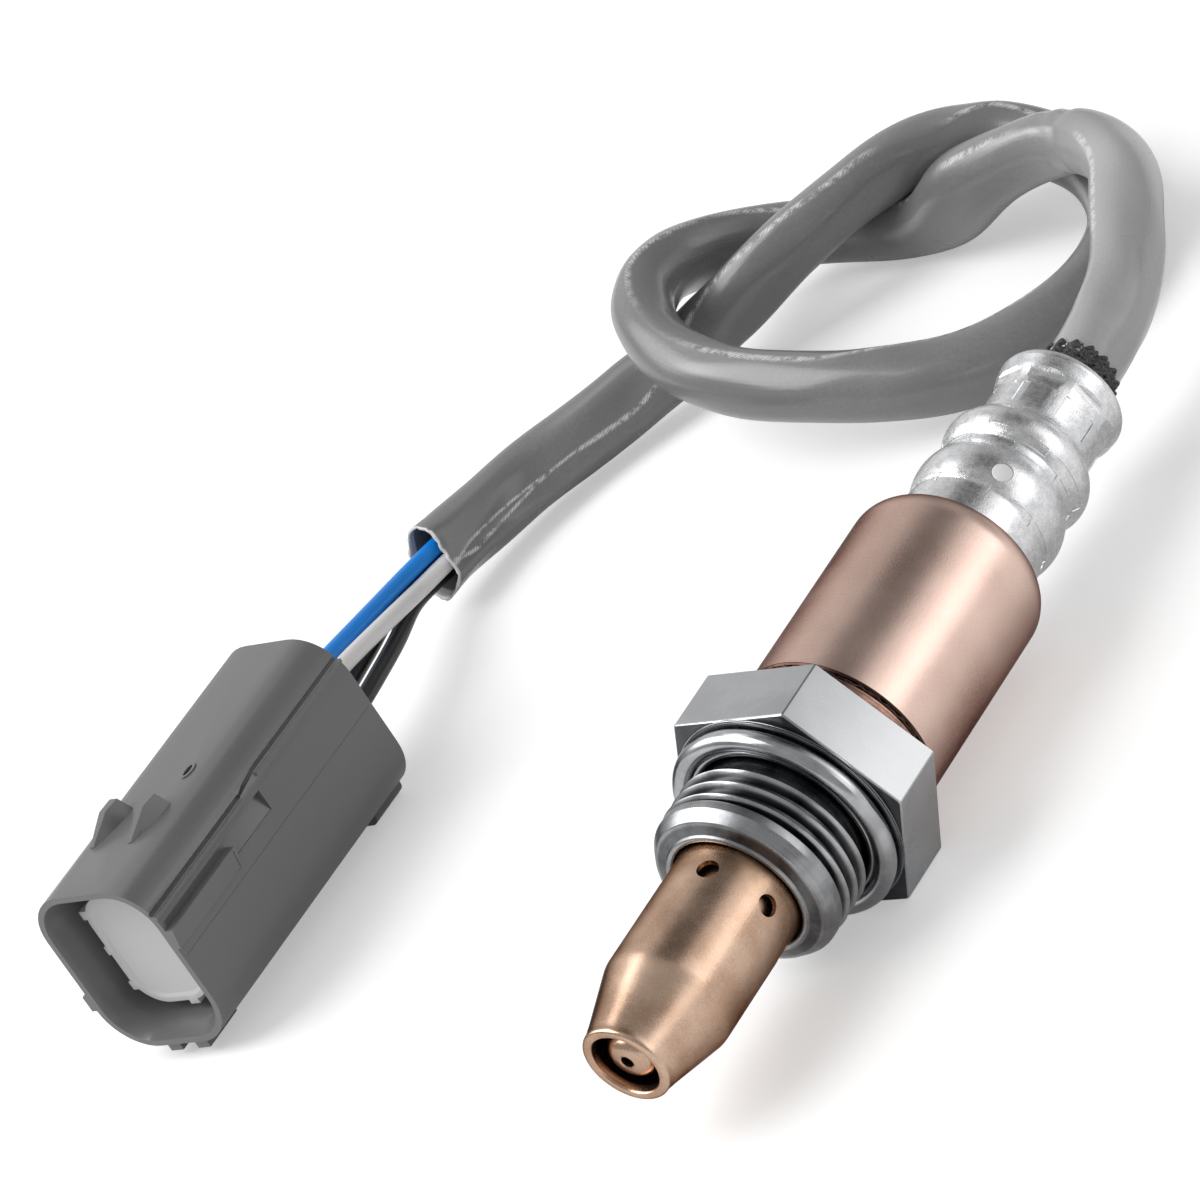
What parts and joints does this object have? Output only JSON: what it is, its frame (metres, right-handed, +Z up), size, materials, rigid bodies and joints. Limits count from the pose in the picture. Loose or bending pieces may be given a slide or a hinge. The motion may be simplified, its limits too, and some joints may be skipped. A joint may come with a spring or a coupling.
{
  "type": "oxygen sensor",
  "caption": "Exhaust oxygen sensor with threaded hexagon body, perforated nose, rose-tinted casing, crimped cover, looped grey sleeved lead and sealed rectangular connector.",
  "frame": {"origin": "floor point under the middle of the sensor's own length, its lead and connector left out", "axes": "+Y along the sensor from nose to cable end, +Z up, lying on one flat of the hexagon; the thread points along -Y"},
  "size_m": [0.0979, 0.1368, 0.022],
  "materials": {
    "shell_steel": "satin turned steel",
    "gasket_steel": "glossy folded sheet",
    "nose_steel": "golden heat tint, satin",
    "casing_steel": "rose heat tint, fine grain, satin",
    "cover_steel": "bright pressed sheet",
    "contact_metal": "plated",
    "ceramic": "unglazed",
    "ptfe": "matte porous band",
    "seal_rubber": "matte",
    "braid_fabric": "woven glass fibre",
    "sleeve_grey": "coated glass-fibre sleeving, semi-gloss",
    "wire_blue": "smooth insulation",
    "wire_white": "smooth insulation",
    "wire_black": "smooth insulation",
    "connector_grey": "moulded, semi-gloss",
    "insert_grey": "moulded, satin"
  },
  "bodies": {
    "root": {"shell": "shell_steel", "gasket": "gasket_steel", "outer_protector": "nose_steel", "inner_protector": "nose_steel", "zirconia_cup": "ceramic", "heater_rod": "ceramic", "packing_washer": "shell_steel", "talc_ring": "ceramic", "insulator_ring": "ceramic", "clamp_ring": "shell_steel", "inner_contact": "contact_metal", "outer_contact": "contact_metal", "terminal_holder": "ceramic", "holder_spring": "cover_steel", "crimp_terminals": "contact_metal", "casing": "casing_steel", "vent_filter": "ptfe", "crimp_cover": "cover_steel", "grommet": "seal_rubber", "braid": "braid_fabric", "wire_blue": "wire_blue", "wire_white": "wire_white", "wire_black_a": "wire_black", "wire_black_b": "wire_black", "sleeve": "sleeve_grey", "connector_housing": "connector_grey", "connector_insert": "insert_grey", "contact_pins": "contact_metal", "wire_seals": "seal_rubber"}
  },
  "joints": []
}
